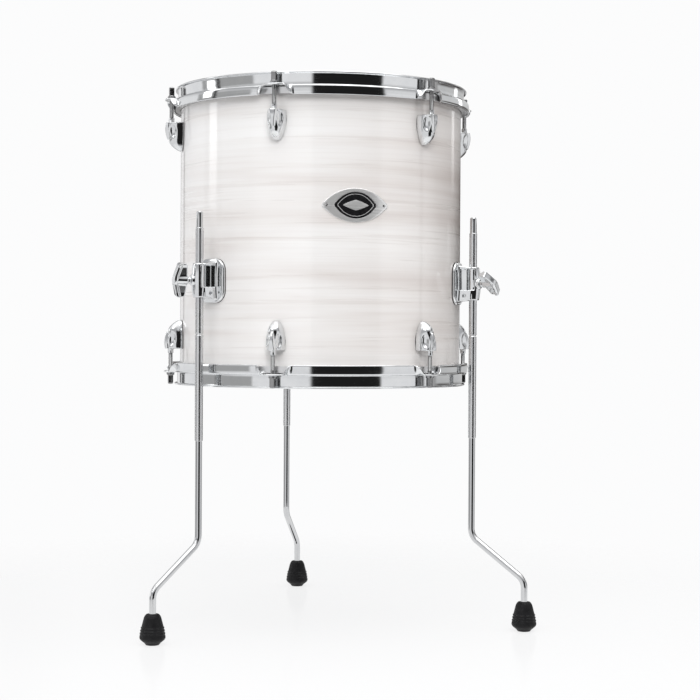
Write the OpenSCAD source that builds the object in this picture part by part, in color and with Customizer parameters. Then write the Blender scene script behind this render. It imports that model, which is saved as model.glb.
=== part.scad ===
// Floor tom: a wrapped wooden shell standing on three height-adjustable legs.
// Six tension lugs at each end pull a pressed steel hoop over each drum head.
// The badge faces -Y, +Z is up and Z = 0 is the floor under the rubber feet.

/* [Shell] */
// Outside diameter of the wrapped shell
shell_d = 355; // [350:0.5:358]
// Depth of the shell from bearing edge to bearing edge
shell_depth = 355.6; // [340:0.2:370]
// Thickness of the wooden plies
ply_t = 7.5; // [6:0.5:9]
// Thickness of the plastic wrap glued round the plies
wrap_t = 0.4; // [0.3:0.1:0.6]
// Height of the lower bearing edge above the floor
shell_z = 306; // [300:1:330]

/* [Hoops] */
// Inside radius of the upright wall of a hoop
hoop_in_r = 179; // [178.6:0.1:179.6]
// Thickness of the pressed steel
hoop_t = 2.3; // [1.6:0.1:2.4]
// Outside radius of the rolled playing edge
hoop_rim_r = 184.4; // [183.5:0.1:186]
// Height that the playing edge stands above the bearing edge
rim_rise = 7.7; // [6:0.1:12]
// Distance from the playing edge to the top of the middle flange
shelf_drop = 15.5; // [14:0.5:17]
// Overall height of a hoop
hoop_h = 27; // [25:0.5:29]

/* [Tension rods] */
// Distance of each tension rod from the drum's axis
rod_r = 191.4; // [190.8:0.1:192]
// Shaft diameter of a tension rod
rod_d = 5.4; // [5.2:0.1:5.6]
// Width across the flats of the square head
head_w = 6.2; // [6:0.1:6.6]
// Height of the square head
head_h = 11.5; // [9:0.5:13]

/* [Lugs] */
// Height of a lug
lug_h = 35.5; // [34:0.5:38]
// Width of a lug
lug_w = 22; // [20:0.5:24]
// How far a lug stands out from the wrap
lug_depth = 22; // [20:0.5:23]
// Distance of the flat end of a lug from the middle of the shell
lug_face = 140.7; // [130:0.1:143]

/* [Legs] */
// Distance of each leg rod from the drum's axis
leg_r = 198.1; // [197.8:0.1:200]
// Diameter of the knurled stretch of a leg rod
knurl_d = 9.6; // [9.4:0.1:9.8]
// Diameter of the plain stretches of a leg rod
leg_d = 8.2; // [7.8:0.1:9]
// Height of the top of a leg rod above the floor
leg_top = 508; // [480:1:530]
// Length of the plain tip above the knurled stretch
tip_l = 20; // [15:1:25]
// Length of the knurled stretch
knurl_l = 254; // [240:1:260]
// Sideways reach from the leg rod to its foot
leg_reach = 72; // [60:1:75]
// Height of the upper bend
bend_hi = 112; // [108:1:125]
// Height of the lower bend
bend_lo = 62; // [60:1:66]
// Turn of the left leg away from straight outwards
turn_left = 4; // [-60:1:60]
// Turn of the right leg away from straight outwards
turn_right = -14; // [-60:1:60]
// Turn of the rear leg away from straight outwards
turn_rear = -25; // [-60:1:60]

/* [Feet] */
// Height of a rubber foot
foot_h = 36; // [30:1:40]
// Widest diameter of a rubber foot
foot_d = 30.6; // [28:0.2:34]

/* [Leg brackets] */
// Height of the middle of a bracket above the floor
bracket_z = 425.7; // [420:0.1:450]
// Height of the bracket's base plate
plate_h = 53; // [50:1:56]
// Width of the bracket's base plate
plate_w = 45; // [42:1:48]
// Length of the clamping tube
tube_h = 41; // [38:1:44]
// Outside diameter of the clamping tube
tube_d = 15.4; // [15.2:0.1:16]
// Angle of the wing bolt away from straight outwards
wing_skew = -20; // [-25:1:0]
// Span of the wing bolt's two arms
wing_span = 42; // [38:1:46]
// Turn of the left wing bolt's arms away from upright
wing_turn_left = -15; // [-90:1:90]
// Turn of the right wing bolt's arms away from upright
wing_turn_right = 57; // [-90:1:90]
// Turn of the rear wing bolt's arms away from upright
wing_turn_rear = 20; // [-90:1:90]

/* [Badge] */
// Width of the badge
badge_w = 80; // [60:1:90]
// Height of the badge
badge_h = 40; // [30:1:44]
// Height of the badge's centre above the floor
badge_z = 513.8; // [480:0.1:540]

/* [Hidden] */
$fn = 96;

shell_r = shell_d / 2;
ply_r = shell_r - wrap_t;
in_r = ply_r - ply_t;
mid_z = shell_z + shell_depth / 2;
top_z = shell_z + shell_depth;
rim_z = top_z + rim_rise;
fit = 0.05;                      // radial running clearance of round fits
lug_angles = [-30, 30, 90, 150, 210, 270];
leg_angles = [-60, 60, 180];
turns = [turn_left, turn_right, turn_rear];
wing_turns = [wing_turn_left, wing_turn_right, wing_turn_rear];
foot_r = foot_d / 2;

// The legs' feet and the hoop fix the footprint; the origin is its centre.
function px(a, r) = r * sin(a);
function py(a, r) = -r * cos(a);
function foot_x(i) = px(leg_angles[i], leg_r) + px(leg_angles[i] + turns[i], leg_reach);
function foot_y(i) = py(leg_angles[i], leg_r) + py(leg_angles[i] + turns[i], leg_reach);
drum_x = -(foot_x(1) + foot_x(0)) / 2;
drum_y = -(foot_y(2) + foot_r - (hoop_in_r + 2 * hoop_t + 6.2)) / 2;

// Colours
c_steel = [0.82, 0.83, 0.84];
c_wrap = [0.93, 0.91, 0.90];
c_wood = [0.80, 0.66, 0.48];
c_dark = [0.07, 0.07, 0.08];
c_film = [0.96, 0.96, 0.95];
c_nylon = [0.15, 0.15, 0.16];

// Children are drawn with X pointing away from the drum's axis, starting on it
module around(a) { translate([drum_x, drum_y, 0]) rotate([0, 0, a - 90]) children(); }
// Mirrors a top-end part to the bottom end
module low_end() { translate([0, 0, 2 * mid_z]) mirror([0, 0, 1]) children(); }
// A cylinder along X from x0 to x1
module xcyl(x0, x1, r) { translate([x0, 0, 0]) rotate([0, 90, 0]) cylinder(r = r, h = x1 - x0); }
// A cylinder along Z from z0 to z1
module zcyl(z0, z1, r) { translate([0, 0, z0]) cylinder(r = r, h = z1 - z0); }
// A ring
module ring(r0, r1, z0, z1) { translate([0, 0, z0]) difference() { cylinder(r = r1, h = z1 - z0, $fn = 180); translate([0, 0, -1]) cylinder(r = r0, h = z1 - z0 + 2, $fn = 180); } }
// A rounded rectangle of half sizes a and b with corner radius c
module rounded(a, b, c) {
  square([2 * (a - c), 2 * b], center = true);
  square([2 * a, 2 * (b - c)], center = true);
  for (i = [-1, 1], j = [-1, 1]) translate([i * (a - c), j * (b - c)]) circle(r = c);
}

// Screw rows: [angle, height] of each lug screw and of each bracket screw
lug_screw_dz = [7, 25];
bracket_screw_y = 14;
bracket_screw_dz = 18;

// ---------- shell ----------
module shell_holes(r_lug, r_bracket) {
  for (a = lug_angles, d = lug_screw_dz, s = [-1, 1])
    rotate([0, 0, a - 90]) translate([0, 0, mid_z + s * (lug_face - d)]) xcyl(150, 190, r_lug);
  for (a = leg_angles, s = [-1, 1], t = [-1, 1])
    rotate([0, 0, a - 90]) translate([0, t * bracket_screw_y, bracket_z + s * bracket_screw_dz]) xcyl(150, 190, r_bracket);
  rotate([0, 0, 90]) translate([0, 0, badge_z]) xcyl(150, 190, 5.6);
  for (t = [-1, 1]) rotate([0, 0, -90]) translate([0, t * 35.5, badge_z]) xcyl(150, 190, 1.1);
}
module shell_plies() {
  color(c_wood) translate([drum_x, drum_y, 0]) difference() {
    rotate_extrude($fn = 180) polygon([
      [in_r, shell_z + 5], [in_r + 5.2, shell_z], [ply_r - 1.2, shell_z], [ply_r - 0.4, shell_z + 1.5],
      [ply_r - 0.4, shell_z + 4], [ply_r, shell_z + 4], [ply_r, top_z - 4], [ply_r - 0.4, top_z - 4],
      [ply_r - 0.4, top_z - 1.5], [ply_r - 1.2, top_z], [in_r + 5.2, top_z], [in_r, top_z - 5]]);
    shell_holes(2.15, 2.65);
  }
}
module shell_wrap() {
  color(c_wrap) translate([drum_x, drum_y, 0]) difference() {
    ring(ply_r, shell_r, shell_z + 4, top_z - 4);
    shell_holes(2.15, 2.65);
  }
}
// Steel eyelet through the shell that lets the air out
module vent_grommet() {
  color(c_steel) around(180) translate([0, 0, badge_z]) difference() {
    union() {
      xcyl(in_r - 1.0, shell_r + 0.6, 5.5);
      xcyl(shell_r + 0.12, shell_r + 1.3, 9);
      xcyl(in_r - 1.2, in_r - 0.35, 8);
    }
    xcyl(in_r - 3, shell_r + 3, 4);
  }
}

// ---------- badge ----------
module badge_outline(k) {
  scale([k, k]) {
    intersection() {
      translate([0, 31]) circle(r = 51, $fn = 180);
      translate([0, -31]) circle(r = 51, $fn = 180);
      square([badge_w - 3, badge_h], center = true);
    }
    for (s = [-1, 1]) translate([s * (badge_w / 2 - 4), 0]) circle(r = 4);
  }
}
module badge_band(k, r0, r1) {
  intersection() {
    rotate([0, 0, -90]) rotate([90, 0, 90]) translate([0, badge_z, 150]) linear_extrude(60) badge_outline(k);
    ring(r0, r1, badge_z - 30, badge_z + 30);
  }
}
module badge_plate() {
  color(c_steel) translate([drum_x, drum_y, 0]) difference() {
    badge_band(1, shell_r + 0.05, shell_r + 1.25);
    badge_band(0.83, shell_r + 0.75, shell_r + 3);
    for (t = [-1, 1]) rotate([0, 0, -90]) translate([0, t * 35.5, badge_z]) xcyl(150, 190, 1.1);
  }
}
module badge_inlay() { color(c_dark) translate([drum_x, drum_y, 0]) badge_band(0.82, shell_r + 0.75, shell_r + 1.2); }
module badge_pins() {
  color(c_steel) translate([drum_x, drum_y, 0])
    for (t = [-1, 1]) rotate([0, 0, -90]) translate([0, t * 35.5, badge_z]) { xcyl(166, 176.5, 1.0); xcyl(174.9, 176.2, 1.0); }
}

// ---------- lugs ----------
lug_arc = (pow(lug_h - 10, 2) + pow(lug_w / 2, 2)) / lug_w;
side_arc = 30;
module lug_front() {
  intersection() {
    translate([0, -lug_h / 2]) square([lug_w, lug_h], center = true);
    translate([-(lug_arc - lug_w / 2), -10]) circle(r = lug_arc, $fn = 180);
    translate([lug_arc - lug_w / 2, -10]) circle(r = lug_arc, $fn = 180);
  }
}
module lug_side() {
  intersection() {
    translate([-3, -lug_h]) square([lug_depth + 3, lug_h]);
    translate([lug_depth - side_arc, -8]) circle(r = side_arc, $fn = 180);
  }
}
// One lug of the top row: flat end up, screw bosses against the shell
module lug() {
  translate([0, 0, mid_z + lug_face]) difference() {
    intersection() {
      translate([shell_r - 3, 0, 0]) rotate([90, 0, 90]) linear_extrude(lug_depth + 3) lug_front();
      translate([shell_r, 0, 0]) rotate([90, 0, 0]) linear_extrude(lug_w + 4, center = true) lug_side();
    }
    translate([0, 0, -lug_h - 5]) cylinder(r = shell_r + 0.8, h = lug_h + 10, $fn = 180);
    translate([rod_r, 0, 0]) { zcyl(-14.5, 1, 3.85); zcyl(-22, 0, 3.0); }
    for (d = lug_screw_dz) translate([0, 0, -d]) xcyl(170, shell_r + 8, 2.05);
  }
}
module lug_nut() {
  translate([rod_r, 0, mid_z + lug_face]) difference() {
    zcyl(-14, 5.5, 3.8);
    zcyl(-15, 7, rod_d / 2 + fit);
  }
}
module top_lugs() { color(c_steel) for (a = lug_angles) around(a) lug(); }
module bottom_lugs() { color(c_steel) for (a = lug_angles) around(a) low_end() lug(); }
module top_lug_nuts() { color(c_steel) for (a = lug_angles) around(a) lug_nut(); }
module bottom_lug_nuts() { color(c_steel) for (a = lug_angles) around(a) low_end() lug_nut(); }
module lug_gasket() {
  translate([0, 0, mid_z + lug_face]) difference() {
    intersection() {
      translate([shell_r - 3, 0, 0]) rotate([90, 0, 90]) linear_extrude(6) lug_front();
      translate([0, 0, -lug_h]) ring(shell_r + 0.05, shell_r + 0.75, 0, lug_h);
    }
    for (d = lug_screw_dz) translate([0, 0, -d]) xcyl(170, shell_r + 8, 2.15);
  }
}
module lug_gaskets() { color(c_dark) for (a = lug_angles) around(a) { lug_gasket(); low_end() lug_gasket(); } }
// Machine screw from inside the shell, its axis along X
module shell_screw(x_end, r, r_head) {
  difference() {
    union() { xcyl(in_r - 1.3, x_end, r); xcyl(in_r - 4.2, in_r - 1.2, r_head); }
    translate([in_r - 5, -r_head, -0.5]) cube([2.2, 2 * r_head, 1]);
    translate([in_r - 5, -0.5, -r_head]) cube([2.2, 1, 2 * r_head]);
  }
}
module lug_screws() {
  color(c_steel) for (a = lug_angles, d = lug_screw_dz, s = [-1, 1])
    around(a) translate([0, 0, mid_z + s * (lug_face - d)]) shell_screw(shell_r + 7.2, 2.0, 3.9);
}
module lug_washers() {
  color(c_steel) for (a = lug_angles, d = lug_screw_dz, s = [-1, 1])
    around(a) translate([0, 0, mid_z + s * (lug_face - d)]) difference() { xcyl(in_r - 1.1, in_r - 0.15, 5); xcyl(in_r - 3, in_r + 3, 2.2); }
}

// ---------- heads ----------
flesh_z = top_z - 18.5;
// Plastic film: flat skin, collar down the outside of the shell and a lip gripped by the flesh hoop
module film() {
  translate([drum_x, drum_y, 0]) rotate_extrude($fn = 180) polygon([
    [0, top_z + 0.02], [shell_r - 0.2, top_z + 0.02], [shell_r + 0.05, top_z - 0.4], [shell_r + 0.05, top_z - 10.66],
    [hoop_in_r + 3.5, top_z - 10.66], [hoop_in_r + 3.5, top_z - 10.36], [shell_r + 0.45, top_z - 10.36],
    [shell_r + 0.45, top_z - 0.1], [shell_r - 0.1, top_z + 0.4], [0, top_z + 0.4]]);
}
module flesh_hoop() {
  translate([drum_x, drum_y, 0]) rotate_extrude($fn = 180) polygon([
    [shell_r + 1.0, flesh_z], [hoop_in_r + 5.8, flesh_z], [hoop_in_r + 5.8, flesh_z + 7.8], [shell_r + 1.0, flesh_z + 7.8]]);
}
module batter_film() { color(c_film) film(); }
module batter_flesh_hoop() { color(c_steel) flesh_hoop(); }
module bottom_film() { color(c_film) low_end() film(); }
module bottom_flesh_hoop() { color(c_steel) low_end() flesh_hoop(); }

// ---------- hoops ----------
shelf_z = rim_z - shelf_drop;
skirt_in = hoop_in_r + 6.2;
ear_end = rod_r + 7.1;
module hoop() {
  difference() {
    union() {
      // Upright wall, rolled playing edge, middle flange and skirt
      rotate_extrude($fn = 180) polygon([
        [hoop_in_r, shelf_z - hoop_t], [hoop_in_r, rim_z - 1], [hoop_in_r + 0.9, rim_z], [hoop_rim_r - 0.6, rim_z],
        [hoop_rim_r, rim_z - 0.8], [hoop_rim_r, rim_z - hoop_t], [hoop_in_r + hoop_t, rim_z - hoop_t],
        [hoop_in_r + hoop_t, shelf_z], [skirt_in + hoop_t - 1, shelf_z], [skirt_in + hoop_t, shelf_z - 1],
        [skirt_in + hoop_t + 0.9, rim_z - hoop_h], [skirt_in + 0.9, rim_z - hoop_h], [skirt_in, shelf_z - hoop_t]]);
      for (a = lug_angles) rotate([0, 0, a - 90]) translate([0, 0, shelf_z - hoop_t]) linear_extrude(hoop_t) {
        translate([skirt_in + 0.5, 0]) square([8, 30], center = true);
        translate([ear_end - 8, 0]) rounded(8, 13, 7);
      }
    }
    // The skirt is turned up into the ears, so it is open under each ear
    for (a = lug_angles) rotate([0, 0, a - 90]) translate([skirt_in - 0.3, -13, rim_z - hoop_h - 5]) cube([20, 26, hoop_h - shelf_drop - hoop_t + 5]);
    for (a = lug_angles) rotate([0, 0, a - 90]) translate([rod_r, 0, 0]) zcyl(shelf_z - 10, shelf_z + 10, rod_d / 2 + 0.35);
  }
}
module top_hoop() { color(c_steel) translate([drum_x, drum_y, 0]) hoop(); }
module bottom_hoop() { color(c_steel) translate([drum_x, drum_y, 0]) low_end() hoop(); }
module rod_washer() { translate([rod_r, 0, shelf_z]) difference() { zcyl(0, 1.2, 5.2); zcyl(-1, 3, rod_d / 2 + 0.2); } }
module top_rod_washers() { color(c_steel) for (a = lug_angles) around(a) rod_washer(); }
module bottom_rod_washers() { color(c_steel) for (a = lug_angles) around(a) low_end() rod_washer(); }

// ---------- tension rods ----------
module rod_shape() {
  translate([rod_r, 0, 0]) {
    zcyl(mid_z + lug_face - 19, shelf_z + 2, rod_d / 2);
    zcyl(shelf_z + 1.3, shelf_z + 3.3, 4.9);
    intersection() {
      translate([-head_w / 2, -head_w / 2, shelf_z + 3.2]) cube([head_w, head_w, head_h]);
      zcyl(shelf_z + 3, shelf_z + 3.2 + head_h, head_w * 0.62);
    }
  }
}
module top_rod(i) { color(c_steel) around(lug_angles[i]) rod_shape(); }
module bottom_rod(i) { color(c_steel) around(lug_angles[i]) low_end() rod_shape(); }

// ---------- leg brackets ----------
module bracket_plate_outline() { rounded(plate_w / 2, plate_h / 2, 15); }
module bracket() {
  difference() {
    union() {
      intersection() {
        translate([shell_r - 12, 0, bracket_z]) rotate([90, 0, 90]) linear_extrude(20) bracket_plate_outline();
        ring(shell_r + 0.85, shell_r + 4.2, bracket_z - plate_h, bracket_z + plate_h);
      }
      // Cast body that narrows from the plate to the tube
      intersection() {
        translate([0, 0, bracket_z - 30]) linear_extrude(60) difference() {
          polygon([[shell_r + 1, -17.5], [shell_r + 6, -17], [leg_r - 5, -7.7], [leg_r + 1, -tube_d / 2], [leg_r + 1, tube_d / 2], [leg_r - 5, 7.7], [shell_r + 6, 15], [shell_r + 1, 17.5]]);
          circle(r = shell_r + 0.85, $fn = 180);
        }
        translate([0, 0, bracket_z]) rotate([90, 0, 0]) linear_extrude(60, center = true)
          polygon([[shell_r - 2, -24], [shell_r + 8, -23], [leg_r - 4, -tube_h / 2], [leg_r + 4, -tube_h / 2],
                   [leg_r + 4, tube_h / 2], [leg_r - 4, tube_h / 2], [shell_r + 8, 23], [shell_r - 2, 24]]);
      }
      translate([leg_r, 0, bracket_z]) zcyl(-tube_h / 2, tube_h / 2, tube_d / 2);
      translate([leg_r, 0, bracket_z]) rotate([0, 0, wing_skew]) xcyl(0, 11.2, 6.4);
    }
    // Bore for the bushes, hole for the wing bolt, pockets each side of the web
    translate([leg_r, 0, bracket_z]) zcyl(-tube_h, tube_h, 5.85);
    translate([leg_r, 0, bracket_z]) rotate([0, 0, wing_skew]) xcyl(3, 20, 3.05);
    translate([shell_r + 5.5, -24, bracket_z - 8]) cube([7.5, 16, 26]);
    translate([shell_r + 5.5, 8, bracket_z - 8]) cube([7.5, 16, 26]);
    for (s = [-1, 1], t = [-1, 1]) translate([0, t * bracket_screw_y, bracket_z + s * bracket_screw_dz]) xcyl(170, shell_r + 3.3, 2.55);
  }
}
module bracket_left() { color(c_steel) around(leg_angles[0]) bracket(); }
module bracket_right() { color(c_steel) around(leg_angles[1]) bracket(); }
module bracket_rear() { color(c_steel) around(leg_angles[2]) bracket(); }
module bracket_gaskets() {
  color(c_dark) for (a = leg_angles) around(a) difference() {
    intersection() {
      translate([shell_r - 12, 0, bracket_z]) rotate([90, 0, 90]) linear_extrude(20) bracket_plate_outline();
      ring(shell_r + 0.05, shell_r + 0.8, bracket_z - plate_h, bracket_z + plate_h);
    }
    for (s = [-1, 1], t = [-1, 1]) translate([0, t * bracket_screw_y, bracket_z + s * bracket_screw_dz]) xcyl(170, 190, 2.65);
  }
}
module bracket_screws() {
  color(c_steel) for (a = leg_angles, s = [-1, 1], t = [-1, 1])
    around(a) translate([0, t * bracket_screw_y, bracket_z + s * bracket_screw_dz]) translate([-1.2, 0, 0]) shell_screw(shell_r + 3.4, 2.5, 4.6);
}
module bracket_washers() {
  color(c_steel) for (a = leg_angles, s = [-1, 1], t = [-1, 1])
    around(a) translate([-1.2, t * bracket_screw_y, bracket_z + s * bracket_screw_dz]) difference() { xcyl(in_r - 1.1, in_r - 0.15, 6); xcyl(in_r - 3, in_r + 3, 2.7); }
}
// Two nylon sleeves line the tube and leave a gap for the clamp pad
module bushes() {
  translate([leg_r, 0, bracket_z]) for (s = [-1, 1]) difference() {
    translate([0, 0, s * (tube_h / 4 + 2.2)]) cylinder(r = 5.8, h = tube_h / 2 - 4.6, center = true);
    zcyl(-tube_h, tube_h, knurl_d / 2 + fit);
  }
}
module clamp_pad() {
  translate([leg_r, 0, bracket_z]) rotate([0, 0, wing_skew]) { xcyl(knurl_d / 2 + 0.1, knurl_d / 2 + 1.9, 2.6); xcyl(knurl_d / 2 + 1.8, knurl_d / 2 + 3.6, 1.5); }
}
// Wing bolt: threaded shank, collar and a butterfly of two arms whose tips sweep back towards the shell
module wing_bolt(turn) {
  translate([leg_r, 0, bracket_z]) rotate([0, 0, wing_skew]) rotate([turn, 0, 0]) {
    difference() {
      union() { xcyl(7.0, 13, 3.0); xcyl(11.6, 18, 3.9); xcyl(16, 31, 5.0); }
      xcyl(6, 8.8, 1.55);
    }
    // Thin web, then the thicker outer rim
    for (s = [-1, 1]) translate([0, 2.2, 0]) rotate([90, 0, 0]) linear_extrude(4.4) wing_half(s, 16, 17.5);
    for (s = [-1, 1]) translate([0, 3.3, 0]) rotate([90, 0, 0]) linear_extrude(6.6) wing_half(s, 27, 21.5);
  }
}
// Half of the butterfly's outline: X along the bolt, Y along the arm
module wing_half(s, in_root, in_tip) {
  half = wing_span / 2;
  polygon([[in_root, 0], [in_root + 0.2, s * 5], [in_tip, s * (half - 6)], [in_tip, s * (half - 3.3)], [27.2, s * (half - 3)], [28.6, s * (half - 4)], [33.2, s * 3], [33.2, 0]]);
  translate([25.4, s * (half - 3.2)]) circle(r = 3.2);
  translate([in_tip + 3, s * (half - 4.4)]) circle(r = 3);
}
module bushes_c(i) { color(c_nylon) around(leg_angles[i]) bushes(); }
module pad_c(i) { color(c_steel) around(leg_angles[i]) clamp_pad(); }
module wing_c(i) { color(c_steel) around(leg_angles[i]) wing_bolt(wing_turns[i]); }

// ---------- legs ----------
bend_r = 18;
slope = atan2(bend_hi - bend_lo, leg_reach);
bend_a = 90 - slope;
tan_l = bend_r * tan(bend_a / 2);
run_l = sqrt(pow(leg_reach, 2) + pow(bend_hi - bend_lo, 2));
// One bend: a sector of a ring, from the X axis round by the bend angle
module bend() {
  intersection() {
    rotate_extrude() translate([bend_r, 0]) circle(r = leg_d / 2 + 0.02);
    linear_extrude(20, center = true) polygon([[0, 0], [60, 0], [60, 60 * tan(bend_a / 2)], [60 * cos(bend_a), 60 * sin(bend_a)]]);
  }
}
// Rod with its axis on Z at X = 0 and its foot out along +X
module leg_rod_shape() {
  difference() {
    zcyl(leg_top - tip_l - knurl_l, leg_top - tip_l, knurl_d / 2);
    translate([0, 0, leg_top - tip_l - knurl_l / 2]) difference() { cylinder(r = 8, h = 1.6, center = true); cylinder(r = knurl_d / 2 - 0.5, h = 3, center = true); }
  }
  rotate_extrude() polygon([[0, leg_top - tip_l - 0.5], [leg_d / 2, leg_top - tip_l - 0.5], [leg_d / 2, leg_top - 1.4], [leg_d / 2 - 1.4, leg_top], [0, leg_top]]);
  zcyl(bend_hi + tan_l - 0.3, leg_top - tip_l - knurl_l + 0.5, leg_d / 2);
  // Upper bend: centre of curvature lies outwards of the rod
  translate([bend_r, 0, bend_hi + tan_l]) rotate([90, 0, 0]) rotate([0, 0, 180]) bend();
  // Straight run
  translate([0, 0, bend_hi]) rotate([0, 90 + slope, 0]) zcyl(tan_l - 0.3, run_l - tan_l + 0.3, leg_d / 2);
  // Lower bend
  translate([leg_reach - bend_r, 0, bend_lo - tan_l]) rotate([90, 0, 0]) bend();
  translate([leg_reach, 0, 0]) zcyl(9, bend_lo - tan_l + 0.3, leg_d / 2);
}
module leg_place(i) { around(leg_angles[i]) translate([leg_r, 0, 0]) rotate([0, 0, turns[i]]) children(); }
module leg_c(i) { color(c_steel) leg_place(i) leg_rod_shape(); }
module foot_c(i) {
  color(c_dark) leg_place(i) translate([leg_reach, 0, 0]) difference() {
    rotate_extrude() polygon([[0, 0], [7.6, 0], [8.9, 1.7], [foot_r - 1.5, 5.8], [foot_r, 8.9], [foot_r - 0.9, 12.4],
      [foot_r - 1.0, 13.2], [foot_r - 0.8, 13.8], [foot_r - 1.7, 14.6], [foot_r - 1.6, 16.2], [foot_r - 1.2, 16.8], [foot_r - 2.2, 17.6],
      [foot_r - 2.1, 19.6], [foot_r - 1.7, 20.3], [foot_r - 2.7, 21.3], [foot_r - 5, foot_h - 4.4], [foot_r - 7.9, foot_h], [0, foot_h]]);
    zcyl(8.9, foot_h + 5, leg_d / 2 + 0.02);
  }
}

shell_plies();
shell_wrap();
vent_grommet();
badge_plate();
badge_inlay();
badge_pins();
top_lugs();
bottom_lugs();
top_lug_nuts();
bottom_lug_nuts();
lug_gaskets();
lug_screws();
lug_washers();
batter_film();
batter_flesh_hoop();
bottom_film();
bottom_flesh_hoop();
top_hoop();
top_rod_washers();
bottom_hoop();
bottom_rod_washers();
top_rod(0);  // top_rod_1
top_rod(1);  // top_rod_2
top_rod(2);  // top_rod_3
top_rod(3);  // top_rod_4
top_rod(4);  // top_rod_5
top_rod(5);  // top_rod_6
bottom_rod(0);  // bottom_rod_1
bottom_rod(1);  // bottom_rod_2
bottom_rod(2);  // bottom_rod_3
bottom_rod(3);  // bottom_rod_4
bottom_rod(4);  // bottom_rod_5
bottom_rod(5);  // bottom_rod_6
bracket_left();
bracket_right();
bracket_rear();
bracket_gaskets();
bracket_screws();
bracket_washers();
bushes_c(0);  // leg_bushes_left
bushes_c(1);  // leg_bushes_right
bushes_c(2);  // leg_bushes_rear
pad_c(0);  // clamp_pad_left
pad_c(1);  // clamp_pad_right
pad_c(2);  // clamp_pad_rear
wing_c(0);  // wing_bolt_left
wing_c(1);  // wing_bolt_right
wing_c(2);  // wing_bolt_rear
leg_c(0);  // leg_rod_left
leg_c(1);  // leg_rod_right
leg_c(2);  // leg_rod_rear
foot_c(0);  // foot_left
foot_c(1);  // foot_right
foot_c(2);  // foot_rear
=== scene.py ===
import bpy, math
import numpy as np
from mathutils import Vector, Matrix


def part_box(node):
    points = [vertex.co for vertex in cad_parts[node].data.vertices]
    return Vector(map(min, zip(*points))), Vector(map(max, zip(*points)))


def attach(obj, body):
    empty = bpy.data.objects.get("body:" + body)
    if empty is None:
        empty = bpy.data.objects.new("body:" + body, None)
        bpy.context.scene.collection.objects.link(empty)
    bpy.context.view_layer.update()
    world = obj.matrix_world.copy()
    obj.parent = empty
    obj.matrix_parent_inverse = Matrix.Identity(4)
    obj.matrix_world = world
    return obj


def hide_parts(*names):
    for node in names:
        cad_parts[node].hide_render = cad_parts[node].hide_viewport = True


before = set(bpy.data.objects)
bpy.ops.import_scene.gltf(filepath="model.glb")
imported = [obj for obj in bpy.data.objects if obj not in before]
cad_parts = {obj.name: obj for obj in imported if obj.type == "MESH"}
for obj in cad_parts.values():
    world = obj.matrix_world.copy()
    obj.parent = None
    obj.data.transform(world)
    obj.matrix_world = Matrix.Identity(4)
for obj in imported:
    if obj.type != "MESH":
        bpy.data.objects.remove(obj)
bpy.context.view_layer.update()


scene = bpy.context.scene
R = math.radians
lo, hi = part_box("shell_wrap")
DX, DY = (lo.x + hi.x) / 2, (lo.y + hi.y) / 2
SHELL_R = 0.1775
TOP = 0.6616
BOT = 0.306
MID = (TOP + BOT) / 2
RIM = 0.6693
LUGS = [-30, 30, 90, 150, 210, 270]
LEGS = [-60, 60, 180]
NAMES = ["left", "right", "rear"]
LEG_R = 0.1981
BRZ = 0.4257
FLOOR_GLOW = 0.80

# ------------------------------------------------------------------ camera
cam_d = bpy.data.cameras.new("cam")
cam = bpy.data.objects.new("cam", cam_d)
scene.collection.objects.link(cam)
cam_d.sensor_width = 36.0
cam_d.lens = 86.0
cam_d.clip_end = 60
yaw, pit, rol = R(14.35), R(-0.71), R(0.33)
fw = Vector((math.sin(yaw) * math.cos(pit), math.cos(yaw) * math.cos(pit), math.sin(pit)))
rt = Vector((math.cos(yaw), -math.sin(yaw), 0))
up = rt.cross(fw)
r2 = rt * math.cos(rol) + up * math.sin(rol)
u2 = -rt * math.sin(rol) + up * math.cos(rol)
m = Matrix((r2, u2, -fw)).transposed().to_4x4()
m.translation = Vector((DX - 0.4916, DY - 2.0764, 0.3684))
cam.matrix_world = m
scene.camera = cam
scene.view_settings.view_transform = "Standard"
scene.view_settings.look = "None"


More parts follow.
